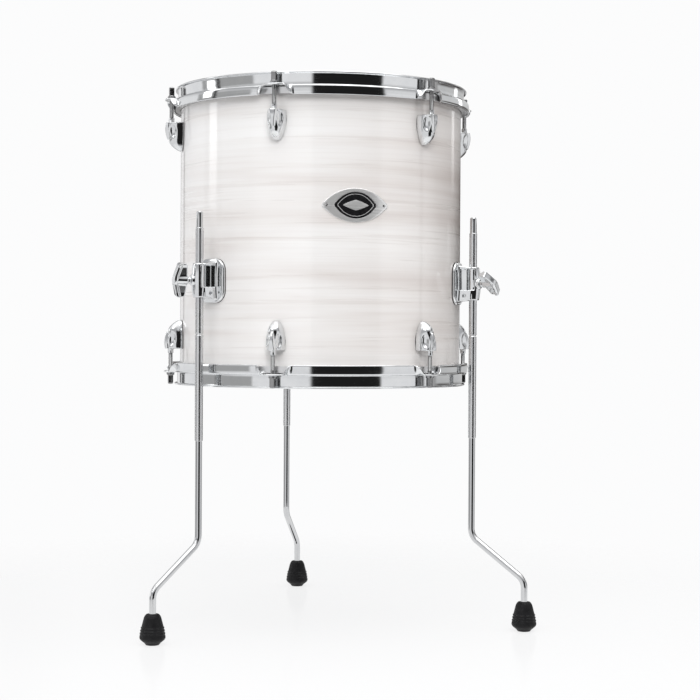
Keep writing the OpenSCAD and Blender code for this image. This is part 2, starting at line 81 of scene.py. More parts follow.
# ------------------------------------------------------------------ materials
class NT:
    def __init__(self, mat):
        self.nt = mat.node_tree
        self.bsdf = self.nt.nodes["Principled BSDF"]

    def n(self, kind, **kw):
        nd = self.nt.nodes.new(kind)
        for k, v in kw.items():
            if k.startswith("i_"):
                nd.inputs[k[2:].replace("_", " ")].default_value = v
            else:
                setattr(nd, k, v)
        return nd

    def l(self, a, b):
        self.nt.links.new(a, b)

    def obj(self, scale=(1, 1, 1), rot=(0, 0, 0), loc=(0, 0, 0)):
        tc = self.n("ShaderNodeTexCoord")
        mp = self.n("ShaderNodeMapping")
        mp.inputs["Scale"].default_value = scale
        mp.inputs["Rotation"].default_value = rot
        mp.inputs["Location"].default_value = loc
        self.l(tc.outputs["Object"], mp.inputs["Vector"])
        return mp.outputs["Vector"]

    def noise(self, vec, scale, detail=3, rough=0.5, dist=0.0):
        nd = self.n("ShaderNodeTexNoise")
        nd.inputs["Scale"].default_value = scale
        nd.inputs["Detail"].default_value = detail
        nd.inputs["Roughness"].default_value = rough
        nd.inputs["Distortion"].default_value = dist
        self.l(vec, nd.inputs["Vector"])
        return nd.outputs["Fac"]

    def ramp(self, fac, stops, interp="LINEAR"):
        nd = self.n("ShaderNodeValToRGB")
        cr = nd.color_ramp
        cr.interpolation = interp
        while len(cr.elements) < len(stops):
            cr.elements.new(0.5)
        for e, (p, c) in zip(cr.elements, stops):
            e.position = p
            e.color = (c[0], c[1], c[2], 1) if hasattr(c, "__len__") else (c, c, c, 1)
        self.l(fac, nd.inputs["Fac"])
        return nd.outputs["Color"]

    def mix(self, fac, a, b, mode="MIX"):
        nd = self.n("ShaderNodeMix", data_type="RGBA", blend_type=mode)
        for i, v in ((0, fac), (6, a), (7, b)):
            if hasattr(v, "is_output"):
                self.l(v, nd.inputs[i])
            elif i:
                nd.inputs[i].default_value = (v[0], v[1], v[2], 1)
            else:
                nd.inputs[0].default_value = v
        return nd.outputs[2]

    def rng(self, val, a, b, c, d):
        nd = self.n("ShaderNodeMapRange")
        for k, v in (("From Min", a), ("From Max", b), ("To Min", c), ("To Max", d)):
            nd.inputs[k].default_value = v
        self.l(val, nd.inputs["Value"])
        return nd.outputs["Result"]

    def bump(self, height, strength, dist):
        nd = self.n("ShaderNodeBump")
        nd.inputs["Strength"].default_value = strength
        nd.inputs["Distance"].default_value = dist
        self.l(height, nd.inputs["Height"])
        self.l(nd.outputs["Normal"], self.bsdf.inputs["Normal"])


def material(name, **kw):
    mat = bpy.data.materials.new(name)
    mat.use_nodes = True
    t = NT(mat)
    for k, v in kw.items():
        t.bsdf.inputs[k.replace("_", " ")].default_value = v
    return mat, t


def chrome_mat(name, base=(0.80, 0.81, 0.815), rough=0.055, spread=0.05):
    mat, t = material(name, Metallic=1.0)
    v = t.obj()
    big = t.noise(v, 45, 4, 0.6)
    fine = t.noise(v, 900, 2, 0.6)
    tint = t.mix(t.rng(big, 0.35, 0.7, 0, 1), base, (base[0] * 0.93, base[1] * 0.935, base[2] * 0.945))
    t.l(tint, t.bsdf.inputs["Base Color"])
    t.l(t.rng(big, 0.3, 0.75, rough, rough + spread), t.bsdf.inputs["Roughness"])
    t.bump(fine, 0.02, 0.0002)
    return mat


chrome = chrome_mat("chrome_plate")
chrome_rod = chrome_mat("chrome_rod", (0.34, 0.34, 0.34), 0.16, 0.08)
chrome_leg = chrome_mat("chrome_leg", (0.66, 0.665, 0.67), 0.05, 0.05)
knurl_m = chrome_mat("chrome_knurl", (0.76, 0.765, 0.77), 0.24, 0.08)
zinc = chrome_mat("zinc_plate", (0.66, 0.67, 0.69), 0.24, 0.14)
alu = chrome_mat("drawn_aluminium", (0.80, 0.80, 0.80), 0.28, 0.1)

# Wrap: cream-white film with long level streaks that fade in and out round the shell, plus painted shade that darkens
# and warms its right side
wrap, t = material("streaked_wrap", Roughness=0.30)
t.bsdf.inputs["Coat Weight"].default_value = 1.0
t.bsdf.inputs["Coat Roughness"].default_value = 0.035
t.bsdf.inputs["Coat IOR"].default_value = 1.5
v1 = t.obj((1.7, 1.7, 26))
v2 = t.obj((3.2, 3.2, 95), loc=(3, 1, 7))
v3 = t.obj((5, 5, 420), loc=(9, 4, 2))
v4 = t.obj((2.2, 2.2, 7), loc=(1, 8, 3))
n1 = t.noise(v1, 1.0, 3, 0.55, 0.25)
n2 = t.noise(v2, 1.0, 3, 0.6, 0.15)
n3 = t.noise(v3, 1.0, 2, 0.6, 0.1)
n4 = t.noise(v4, 1.0, 2, 0.5, 0.0)
c = t.ramp(n1, [(0.30, (0.775, 0.735, 0.715)), (0.43, (0.870, 0.850, 0.836)), (0.55, (0.920, 0.912, 0.904)), (0.70, (0.945, 0.941, 0.935))])
s2 = t.ramp(n2, [(0.30, (0.905, 0.885, 0.875)), (0.46, (0.985, 0.982, 0.978)), (0.62, (1, 1, 1))])
s3 = t.ramp(n3, [(0.30, (0.965, 0.958, 0.955)), (0.52, (1, 1, 1))])
s4 = t.ramp(n4, [(0.35, (0.960, 0.950, 0.945)), (0.62, (1, 1, 1))])
c = t.mix(1.0, c, s2, "MULTIPLY")
c = t.mix(0.9, c, s3, "MULTIPLY")
c = t.mix(1.0, c, s4, "MULTIPLY")
# Painted shade: towards +x (the drum's right side) the colour is multiplied by itself and by a warm tint, standing in
# for the dimmer light on that side
painted_shade_x = t.n("ShaderNodeSeparateXYZ")
t.l(t.obj(), painted_shade_x.inputs[0])
c = t.mix(t.rng(painted_shade_x.outputs[0], DX - 0.05, DX + 0.17, 0.0, 0.75), c, t.mix(1.0, c, t.mix(1.0, c, (0.97, 0.93, 0.91), "MULTIPLY"), "MULTIPLY"))
t.l(c, t.bsdf.inputs["Base Color"])
t.l(t.rng(n2, 0.3, 0.7, 0.24, 0.36), t.bsdf.inputs["Roughness"])
t.bump(t.noise(t.obj(), 160, 2, 0.5), 0.015, 0.0004)

# Plies: pale hardwood with grain round the shell and darker glue lines on the cut edges
wood, t = material("wood_plies", Roughness=0.45)
t.bsdf.inputs["Coat Weight"].default_value = 0.25
t.bsdf.inputs["Coat Roughness"].default_value = 0.25
g1 = t.noise(t.obj((3, 3, 90)), 1.6, 5, 0.62, 0.4)
g2 = t.noise(t.obj((14, 14, 700)), 1.0, 3, 0.6, 0.0)
c = t.ramp(g1, [(0.28, (0.38, 0.22, 0.12)), (0.5, (0.56, 0.36, 0.21)), (0.72, (0.68, 0.48, 0.31))])
c = t.mix(t.rng(g2, 0.35, 0.65, 0.0, 0.35), c, (0.30, 0.17, 0.09), "MIX")
tc = t.n("ShaderNodeTexCoord")
sep = t.n("ShaderNodeSeparateXYZ")
t.l(tc.outputs["Object"], sep.inputs[0])


def math_node(t, op, a, b=None):
    nd = t.n("ShaderNodeMath", operation=op)
    for i, v in enumerate((a, b)):
        if v is None:
            continue
        if hasattr(v, "is_output"):
            t.l(v, nd.inputs[i])
        else:
            nd.inputs[i].default_value = v
    return nd.outputs[0]


xx = math_node(t, "SUBTRACT", sep.outputs[0], DX)
yy = math_node(t, "SUBTRACT", sep.outputs[1], DY)
rad = math_node(t, "SQRT", math_node(t, "ADD", math_node(t, "MULTIPLY", xx, xx), math_node(t, "MULTIPLY", yy, yy)))
lay = math_node(t, "FRACT", math_node(t, "MULTIPLY", rad, 800.0))
edge = t.ramp(lay, [(0.0, (0.30, 0.30, 0.30)), (0.12, (1, 1, 1)), (0.88, (1, 1, 1)), (1.0, (0.30, 0.30, 0.30))])
gm = t.n("ShaderNodeNewGeometry")
sn = t.n("ShaderNodeSeparateXYZ")
t.l(gm.outputs["True Normal"], sn.inputs[0])
onedge = t.rng(math_node(t, "ABSOLUTE", sn.outputs[2]), 0.3, 0.5, 0.0, 1.0)
c = t.mix(onedge, c, t.mix(0.75, c, edge, "MULTIPLY"))
t.l(c, t.bsdf.inputs["Base Color"])
t.bump(g2, 0.12, 0.0003)

# Coated batter head
coat, t = material("coated_film", Roughness=0.55)
sp = t.noise(t.obj(), 900, 3, 0.7)
cl = t.noise(t.obj(), 14, 3, 0.5)
c = t.ramp(cl, [(0.3, (0.57, 0.57, 0.56)), (0.7, (0.63, 0.63, 0.62))])
t.l(c, t.bsdf.inputs["Base Color"])
t.l(t.rng(sp, 0.3, 0.7, 0.5, 0.75), t.bsdf.inputs["Roughness"])
t.bump(sp, 0.35, 0.0003)

# Clear resonant head
clear, t = material("clear_film", Roughness=0.03, IOR=1.45)
t.bsdf.inputs["Transmission Weight"].default_value = 0.92
c = t.ramp(t.noise(t.obj(), 9, 2, 0.5), [(0.3, (0.93, 0.94, 0.94)), (0.7, (0.98, 0.98, 0.98))])
t.l(c, t.bsdf.inputs["Base Color"])
t.l(t.rng(t.noise(t.obj(), 60, 3, 0.5), 0.3, 0.7, 0.02, 0.09), t.bsdf.inputs["Roughness"])

rubber, t = material("black_rubber", Roughness=0.5)
t.bsdf.inputs["Specular IOR Level"].default_value = 0.22
c = t.ramp(t.noise(t.obj(), 160, 4, 0.6), [(0.3, (0.004, 0.004, 0.0045)), (0.75, (0.010, 0.010, 0.011))])
t.l(c, t.bsdf.inputs["Base Color"])
t.l(t.rng(t.noise(t.obj(), 300, 2, 0.5), 0.3, 0.7, 0.40, 0.62), t.bsdf.inputs["Roughness"])
t.bump(t.noise(t.obj(), 1500, 3, 0.6), 0.25, 0.0002)

gasket, t = material("black_gasket", Roughness=0.6)
c = t.ramp(t.noise(t.obj(), 300, 3, 0.6), [(0.3, (0.012, 0.012, 0.013)), (0.7, (0.035, 0.035, 0.036))])
t.l(c, t.bsdf.inputs["Base Color"])
t.bump(t.noise(t.obj(), 1200, 2, 0.6), 0.2, 0.0002)

nylon, t = material("dark_nylon", Roughness=0.42)
c = t.ramp(t.noise(t.obj(), 200, 3, 0.5), [(0.3, (0.022, 0.022, 0.024)), (0.7, (0.05, 0.05, 0.053))])
t.l(c, t.bsdf.inputs["Base Color"])
t.bump(t.noise(t.obj(), 900, 2, 0.5), 0.1, 0.0002)

badge_m, t = material("badge_silver", Metallic=0.6)
br = t.noise(t.obj((18, 18, 900)), 1.0, 3, 0.6)
c = t.ramp(br, [(0.3, (0.80, 0.80, 0.80)), (0.7, (0.90, 0.90, 0.89))])
t.l(c, t.bsdf.inputs["Base Color"])
t.l(t.rng(br, 0.3, 0.7, 0.16, 0.30), t.bsdf.inputs["Roughness"])
badge_k, t = material("badge_enamel", Roughness=0.12)
t.bsdf.inputs["Coat Weight"].default_value = 0.6
t.bsdf.inputs["Coat Roughness"].default_value = 0.03
c = t.ramp(t.noise(t.obj(), 500, 2, 0.5), [(0.3, (0.006, 0.006, 0.007)), (0.7, (0.016, 0.016, 0.017))])
t.l(c, t.bsdf.inputs["Base Color"])


# ------------------------------------------------------------------ mesh helpers
def make(name, V, F, mat, body, reps=(), angle=38, mats=None, midx=None):
    me = bpy.data.meshes.new(name)
    me.from_pydata([tuple(v) for v in np.asarray(V, float).tolist()], [], [tuple(f) for f in F])
    me.validate()
    me.update()
    for mm in (mats or [mat]):
        me.materials.append(mm)
    if midx is not None:
        me.polygons.foreach_set("material_index", np.asarray(midx, np.int32))
    me.polygons.foreach_set("use_smooth", np.ones(len(me.polygons), bool))
    if angle is not None:
        me.set_sharp_from_angle(angle=R(angle))
    ob = bpy.data.objects.new(name, me)
    scene.collection.objects.link(ob)
    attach(ob, body)
    if reps:
        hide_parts(*reps)
    return ob


def place(P, a, low=False):
    """Local (outward from the drum's axis, tangential, z) in metres to the row frame at polar angle a."""
    P = np.asarray(P, float)
    r, tt, z = P[:, 0], P[:, 1], P[:, 2]
    if low:
        z = 2 * MID - z
    s, c = math.sin(R(a)), math.cos(R(a))
    return np.stack([DX + r * s + tt * c, DY - r * c + tt * s, z], 1)


def flip(F):
    return [tuple(reversed(f)) for f in F]


def grid_faces(n, m, wrap_n=False, wrap_m=False, off=0):
    """n rows of m points."""
    F = []
    for i in range(n if wrap_n else n - 1):
        i2 = (i + 1) % n
        for j in range(m if wrap_m else m - 1):
            j2 = (j + 1) % m
            F.append((off + i * m + j, off + i * m + j2, off + i2 * m + j2, off + i2 * m + j))
    return F


def lathe(profile, n, cx=0.0, cy=0.0, closed=True):
    """profile: list of (r, z), counter-clockwise when seen with r right and z up; points with r=0 become poles."""
    P = np.asarray(profile, float)
    V, idx = [], []
    for r, z in P:
        if r < 1e-9:
            idx.append([len(V)] * n)
            V.append((cx, cy, z))
        else:
            idx.append(list(range(len(V), len(V) + n)))
            for k in range(n):
                a = 2 * math.pi * k / n
                V.append((cx + r * math.cos(a), cy + r * math.sin(a), z))
    F = []
    m_ = len(P)
    for i in range(m_ if closed else m_ - 1):
        A, B = idx[i], idx[(i + 1) % m_]
        if A[0] == A[1] and B[0] == B[1]:
            continue
        for k in range(n):
            k2 = (k + 1) % n
            q = [A[k], A[k2], B[k2], B[k]]
            q = [x for j, x in enumerate(q) if x != q[j - 1]]
            if len(q) > 2:
                F.append(tuple(q))
    return V, F


# Implicit solids, polygonised on a grid and pulled onto the exact surface
def smin(a, b, k):
    h = np.clip(0.5 + 0.5 * (b - a) / k, 0, 1)
    return b * (1 - h) + a * h - k * h * (1 - h)


def smax(a, b, k):
    return -smin(-a, -b, k)


def polygonise(f, lo_, hi_, h, steps=4):
    lo_, hi_ = np.array(lo_, float), np.array(hi_, float)
    n = np.ceil((hi_ - lo_) / h).astype(int) + 1
    ax = [lo_[i] + h * np.arange(n[i]) for i in range(3)]
    X, Y, Z = np.meshgrid(*ax, indexing="ij")
    D = f(X, Y, Z)
    S = D < 0
    acc = np.zeros(tuple(n - 1) + (3,))
    cnt = np.zeros(tuple(n - 1))
    for d in range(3):
        o = [0, 1, 2]
        sl0 = [slice(None)] * 3
        sl1 = [slice(None)] * 3
        sl0[d] = slice(0, -1)
        sl1[d] = slice(1, None)
        A, B = D[tuple(sl0)], D[tuple(sl1)]
        cross = (A < 0) != (B < 0)
        tt = np.where(cross, A / np.where(cross, A - B, 1), 0)
        P = np.stack([X[tuple(sl0)], Y[tuple(sl0)], Z[tuple(sl0)]], -1).astype(float)
        P[..., d] += tt * h
        e1, e2 = [q for q in o if q != d]
        for a in (0, 1):
            for b in (0, 1):
                src = [slice(None)] * 3
                dst = [slice(None)] * 3
                for e, w in ((e1, a), (e2, b)):
                    src[e] = slice(0, -1) if w == 0 else slice(1, None)
                c_ = cross[tuple(src)]
                p_ = P[tuple(src)]
                acc[..., :] += np.where(c_[..., None], p_, 0)
                cnt += c_
    has = cnt > 0
    ids = -np.ones(has.shape, int)
    ids[has] = np.arange(has.sum())
    V = acc[has] / cnt[has][:, None]
    F = []
    for d in range(3):
        e1, e2 = (d + 1) % 3, (d + 2) % 3
        sl0 = [slice(None)] * 3
        sl1 = [slice(None)] * 3
        sl0[d] = slice(0, -1)
        sl1[d] = slice(1, None)
        s0, s1 = S[tuple(sl0)], S[tuple(sl1)]
        cr = np.argwhere(s0 != s1)
        for q in cr:
            if q[e1] == 0 or q[e2] == 0 or q[e1] >= n[e1] - 1 or q[e2] >= n[e2] - 1:
                continue
            c0 = q.copy()
            cs = []
            for a, b in ((0, 0), (-1, 0), (-1, -1), (0, -1)):
                w = c0.copy()
                w[e1] += a
                w[e2] += b
                cs.append(int(ids[w[0], w[1], w[2]]))
            if not s0[tuple(q)]:
                cs.reverse()
            F.append(tuple(cs))
    eps = 0.02
    for _ in range(steps):
        x, y, z = V[:, 0], V[:, 1], V[:, 2]
        v0 = f(x, y, z)
        g = np.stack([f(x + eps, y, z) - f(x - eps, y, z), f(x, y + eps, z) - f(x, y - eps, z), f(x, y, z + eps) - f(x, y, z - eps)], 1) / (2 * eps)
        g2 = np.maximum((g * g).sum(1), 1e-3)
        stp = (v0 / g2)[:, None] * g
        ln = np.linalg.norm(stp, axis=1, keepdims=True)
        V = V - stp * np.minimum(1, 0.45 * h / np.maximum(ln, 1e-9))
    return V, F


# ------------------------------------------------------------------ hoops
def smooth(x, a, b):
    q = np.clip((x - a) / (b - a), 0, 1)
    return q * q * (3 - 2 * q)


def hoop_mesh():
    """Pressed triple-flange hoop in mm about the drum's axis: rolled rim, upright wall, shelf, and a flap that is
    a skirt all round but turned up flat into an ear at each tension rod."""
    ang = []
    fine = np.concatenate([np.arange(-10, 10, 0.3), np.arange(10, 50, 1.25)])
    for a in LUGS:
        ang += list(a + fine)
    ang = np.array(sorted(set(round(x % 360, 4) for x in ang)))
    rows = []
    half = 1.0
    for A in ang:
        d = min(abs((A - b + 180) % 360 - 180) for b in LUGS)
        y = R(d) * 187.0
        psi = R(88) * smooth(y, 11.5, 22.5)
        L = 13.6 - 3.6 * smooth(y, 5, 13) + 1.4 * smooth(y, 13, 23)
        C = []  # centreline with normals (pointing to the outer side: up / outwards)
        C.append(((183.6, -1.05), (0, 1)))
        for k in range(6):
            a_ = math.pi / 2 + k / 5 * math.pi / 2
            C.append(((181.9 + 1.8 * math.cos(a_), -2.85 + 1.8 * math.sin(a_)), (math.cos(a_), math.sin(a_))))
        C.append(((180.1, -6.5), (-1, 0)))
        C.append(((180.1, -11), (-1, 0)))
        for k in range(6):
            a_ = math.pi + k / 5 * math.pi / 2
            C.append(((181.9 + 1.8 * math.cos(a_), -14.7 + 1.8 * math.sin(a_)), (math.cos(a_), math.sin(a_))))
        # After the foot of the wall the same side of the sheet is the underside
        C.append(((183.4, -16.5), (0, -1)))
        for k in range(6):
            b_ = psi * k / 5
            C.append(((184.9 + 1.6 * math.sin(b_), -18.1 + 1.6 * math.cos(b_)), (-math.sin(b_), -math.cos(b_))))
        e = C[-1][0]
        Ls = max(L - 1.6 * psi, 1.0)
        for k in (0.33, 0.66, 1.0):
            C.append(((e[0] + Ls * k * math.cos(psi), e[1] - Ls * k * math.sin(psi)), (-math.sin(psi), -math.cos(psi))))
        top_side = [(p[0] + n[0] * half, p[1] + n[1] * half) for p, n in C]
        bot_side = [(p[0] - n[0] * half, p[1] - n[1] * half) for p, n in C]

        def cap(p, n, out):
            # small round end: from +n side to -n side, round the direction `out`
            res = []
            for k in (0.25, 0.5, 0.75):
                a_ = math.pi * k
                res.append((p[0] + n[0] * half * math.cos(a_) + out[0] * half * math.sin(a_) * 0.8, p[1] + n[1] * half * math.cos(a_) + out[1] * half * math.sin(a_) * 0.8))
            return res

        end = C[-1]
        st = C[0]
        loop = top_side + cap(end[0], end[1], (math.cos(psi), -math.sin(psi))) + bot_side[::-1] + cap(st[0], (-st[1][0], -st[1][1]), (1, 0))
        rows.append([(r * math.cos(R(A)), r * math.sin(R(A)), z) for r, z in [(q[0], q[1]) for q in loop]])
    V = np.array(rows)  # n x m x 3
    n_, m_ = V.shape[:2]
    return ang, V.reshape(-1, 3), n_, m_


_, HV, hn, hm = hoop_mesh()
HF = grid_faces(hn, hm, True, True)


def hoop(name, low, body, node):
    # polar angle A: outward = (sin A, -cos A); V holds (r cos A, r sin A, z)
    r_c, r_s, z = HV[:, 0] / 1000, HV[:, 1] / 1000, HV[:, 2] / 1000 + RIM
    if low:
        z = 2 * MID - z
    V = np.stack([DX + r_s, DY - r_c, z], 1)
    F = HF if low else flip(HF)
    return make(name, V, F, chrome, body, [node], angle=50)


hoop("top_hoop_pressing", False, "top_hoop", "top_hoop")
hoop("bottom_hoop_pressing", True, "bottom_hoop", "bottom_hoop")


# ------------------------------------------------------------------ lugs
def lug_f(u, y, w):
    ay = np.abs(y)
    wc = np.clip(w, -3, 38)
    a = 11.0 * np.sqrt(np.clip(1 - np.clip((wc - 9) / 27.4, -0.5, 1) ** 2 * np.where(wc > 9, 1, 0.25), 1e-4, 1))
    dmax = -8 + np.sqrt(np.clip(900 - (wc - 8) ** 2, 1, 900))
    db = dmax * (0.84 + 0.16 * smooth(wc, 17, 27))
    n = 2.3
    g = ((ay / np.maximum(a, 0.5)) ** n + (np.maximum(u, 0) / np.maximum(db, 0.5)) ** n) ** (1 / n) - 1
    body = g * np.minimum(np.maximum(a, 1.5), np.maximum(db, 1.5)) * 0.9
    body = smax(body, -w, 1.4)
    body = smax(body, w - 35.5, 1.0)
    # nut housing: flat front, tapering towards the tip
    hw = 4.9 - 0.13 * wc
    fr = dmax - 0.2
    side = ay - hw + 0.33 * np.maximum(u - (fr - 3.2), 0)
    ridge = smax(side, u - fr, 0.9)
    ridge = smax(ridge, 6 - u, 0.8)
    ridge = smax(ridge, -w, 0.7)
    ridge = smax(ridge, np.hypot(np.maximum(wc - 17.5, 0), ay * 0.8) - 4.0, 0.9)
    # a scoop each side of the housing
    q = np.sqrt(((ay - 8.6) / 4.1) ** 2 + ((u - 18.0) / 8.6) ** 2 + ((w - 12.0) / 10.6) ** 2) - 1
    scoop = q * 4.0
    out = smax(body, -scoop, 0.9)
    out = smin(out, ridge, 0.5)
    # bore for the nut
    out = smax(out, -(np.maximum(np.hypot(u - 13.9, y) - 3.95, w - 15)), 0.3)
    # seat on the curved shell
    seat = 178.3 - np.hypot(177.5 + u, y)
    return smax(out, seat, 0.25)


LV, LF = polygonise(lug_f, (-1.5, -13, -1.6), (24, 13, 37), 0.62)
LV = np.stack([LV[:, 0] + 177.5, LV[:, 1], MID * 1000 + 140.7 - LV[:, 2]], 1) / 1000


def many(V, F, angles, low=False):
    """Copies of one mesh at several polar angles, joined."""
    AV, AF = [], []
    for a in angles:
        off = sum(len(x) for x in AV)
        AV.append(place(V, a, low))
        AF += [tuple(i + off for i in f) for f in F]
    return np.concatenate(AV), AF


for low in (False, True):
    end = "bottom" if low else "top"
    V, F = many(LV, LF if low else flip(LF), LUGS, low)
    make(f"{end}_lug_castings", V, F, chrome, "root", [f"{end}_lugs"], angle=None)

# Swivel nuts: round collar with a chamfer, bored for the rod
nut_prof = [(2.75, 4.9), (3.0, 5.4), (3.25, 5.5), (3.5, 5.25), (3.55, 4.9), (3.55, 1.2), (3.75, 0.9), (3.8, 0.6), (3.8, -13.6), (3.5, -14), (3.0, -14), (2.75, -13.6)]
nv, nf = lathe([(r / 1000, MID + 0.1407 + z / 1000) for r, z in nut_prof], 32, 0.1914, 0)
for low in (False, True):
    end = "bottom" if low else "top"
    V, F = many(np.array(nv), nf if low else flip(nf), LUGS, low)
    make(f"{end}_swivel_nuts", V, flip(F), chrome, "root", [f"{end}_lug_nuts"], angle=35)


# ------------------------------------------------------------------ tension rods
def ring_pts(h, c, n=32):
    """Rounded square of half size h and corner radius c (c = h is a circle)."""
    P = []
    per = n // 4
    for q in range(4):
        cx = (h - c) * (1 if q in (0, 3) else -1)
        cy = (h - c) * (1 if q in (0, 1) else -1)
        for k in range(per):
            a = q * math.pi / 2 + (k + 0.5) / per * math.pi / 2
            P.append((cx + c * math.cos(a), cy + c * math.sin(a)))
    return P


def rod_mesh():
    SH = RIM * 1000 - 15.5
    V, F = [], []
    n = 32

    def stack(levels, cap_lo=True, cap_hi=True):
        off = len(V)
        for h, c_, z in levels:
            for x, y in ring_pts(h, c_, n):
                V.append((191.4 + x, y, z))
        F.extend(grid_faces(len(levels), n, False, True, off))
        if cap_lo:
            F.append(tuple(off + i for i in reversed(range(n))))
        if cap_hi:
            o = off + (len(levels) - 1) * n
            F.append(tuple(o + i for i in range(n)))

    head = [(4.7, 4.7, SH + 1.25), (4.9, 4.9, SH + 1.5), (4.9, 4.9, SH + 2.6), (4.65, 4.65, SH + 3.1), (3.9, 3.9, SH + 3.45), (3.45, 2.4, SH + 3.7),
            (3.12, 0.9, SH + 4.3), (3.1, 0.75, SH + 5), (3.1, 0.75, SH + 12.6), (3.05, 0.9, SH + 13.4), (2.8, 1.3, SH + 14.1), (2.35, 1.5, SH + 14.55), (1.3, 1.0, SH + 14.85)]
    stack(head)
    # plain neck, then a rolled thread
    z_top, z_thr, z_end = SH + 1.3, SH - 5.0, MID * 1000 + 140.7 - 18.5
    stack([(2.62, 2.62, z_thr - 0.6), (2.7, 2.7, z_thr), (2.7, 2.7, z_top)])
    pitch, sub, cols = 1.058, 4, 20
    turns_ = int((z_thr - z_end) / pitch)
    off = len(V)
    rows = turns_ * sub
    prof = [2.66, 2.52, 2.36, 2.52]
    for j in range(rows + sub + 1):
        for k in range(cols):
            a = 2 * math.pi * k / cols
            V.append((191.4 + prof[j % sub] * math.cos(a), prof[j % sub] * math.sin(a), z_end - pitch + j * pitch / sub + pitch * k / cols))
    for j in range(rows):
        for k in range(cols):
            k2 = k + 1
            if k2 < cols:
                F.append((off + j * cols + k, off + j * cols + k2, off + (j + 1) * cols + k2, off + (j + 1) * cols + k))
            else:
                F.append((off + j * cols + k, off + (j + sub) * cols, off + (j + 1 + sub) * cols, off + (j + 1) * cols + k))
    stack([(2.0, 2.0, z_end - 0.5), (2.3, 2.3, z_end), (2.3, 2.3, z_thr - 0.4)])
    return np.array(V) / 1000, F


RV, RF = rod_mesh()
for low in (False, True):
    end = "bottom" if low else "top"
    for i, a in enumerate(LUGS):
        make(f"{end}_tension_rod_{i + 1}", place(RV, a, low), flip(RF) if low else RF, chrome_rod, f"{end}_rod_{i + 1}", [f"{end}_rod_{i + 1}"], angle=30)
    wp = [(2.95, 0.05), (3.15, 0.0), (4.95, 0.0), (5.2, 0.2), (5.2, 0.85), (4.9, 1.12), (3.2, 1.15), (2.95, 1.0)]
    wv, wf = lathe([(r / 1000, RIM - 0.0155 + z / 1000) for r, z in wp], 36, 0.1914, 0)
    V, F = many(np.array(wv), wf if not low else flip(wf), LUGS, low)
    make(f"{end}_washers_round", V, F, zinc, f"{end}_hoop", [f"{end}_rod_washers"], angle=30)


# ------------------------------------------------------------------ leg brackets
def cyl_x(x, y, z, x0, x1, r):
    return np.maximum(np.hypot(y, z) - r, np.maximum(x0 - x, x - x1))


def bracket_f(x, y, z):
    """x is measured outwards from the drum's axis minus 177.5, y tangential, z from the bracket's middle."""
    ay = np.abs(y)
    rr = np.hypot(177.5 + x, y)
    # domed base plate
    qx = np.maximum(ay - (22.5 - 15), 0)
    qz = np.maximum(np.abs(z) - (26.5 - 15), 0)
    out2 = np.hypot(qx, qz) - 15
    dome = 4.0 + 1.3 * (1 - np.clip((ay / 22.5) ** 2 + (z / 26.5) ** 2, 0, 1))
    plate = smax(out2, (rr - 177.5) - dome, 2.2)
    # cast body from the plate to the clamping barrel
    lx = x - 20.6
    s = np.clip((x - 2) / 18.6, 0, 1)
    hw = 12.6 * (1 - s) + 9.9 * s
    hz = 22.5 * (1 - s) + 20.3 * s
    bodyc = smax(smax(ay - hw, np.abs(z) - hz, 1.6), x - 20.6, 1.0)
    bulge = 9.7 - 2.0 * (z / 20.5) ** 2
    barrel = smax(np.hypot(lx, y) - bulge, np.abs(z) - 20.4, 1.6)
    solid = smin(bodyc, barrel, 1.4)
    # side pockets leave a web and the inner tube
    tube = np.hypot(lx, y) - 7.2
    web = ay - 2.6
    zone = smax(smax(-(z + 8.0), z - 18.2, 1.0), smax(5.8 - x, x - 24.3, 1.0), 1.2)
    pocket = smax(smax(zone, -tube, 0.6), -web, 0.6)
    solid = smax(solid, -pocket, 0.5)
    # inner clamping tube
    solid = smin(solid, smax(np.hypot(lx, y) - 7.25, np.abs(z) - 20.4, 0.8), 0.5)
    # boss for the wing bolt
    c_, s_ = math.cos(R(-20)), math.sin(R(-20))
    bx, by = lx * c_ + y * s_, -lx * s_ + y * c_
    boss = smax(np.hypot(by, z) - (6.4 - 0.06 * np.maximum(bx - 6, 0)), smax(-bx, bx - 11.3, 0.8), 0.8)
    solid = smin(solid, boss, 1.2)
    out = smin(plate, solid, 2.4)
    # drilling on the lower side of the body
    hole = np.hypot(x - 12.0, z + 15.0) - 1.7
    out = smax(out, -smax(hole, 8.0 - ay, 0.4), 0.4)
    # bores
    out = smax(out, -(np.hypot(lx, y) - 5.95), 0.5)
    out = smax(out, -smax(np.hypot(by, z) - 3.15, 2 - bx, 0.2), 0.3)
    return smax(out, 178.35 - rr, 0.3)


BV, BF = polygonise(bracket_f, (-2.5, -24, -28), (35, 24, 28), 0.75)
BV = np.stack([BV[:, 0] + 177.5, BV[:, 1], BV[:, 2] + BRZ * 1000], 1) / 1000
for i, nme in enumerate(NAMES):
    make(f"bracket_casting_{nme}", place(BV, LEGS[i]), flip(BF), chrome, "root", [f"bracket_{nme}"], angle=None)


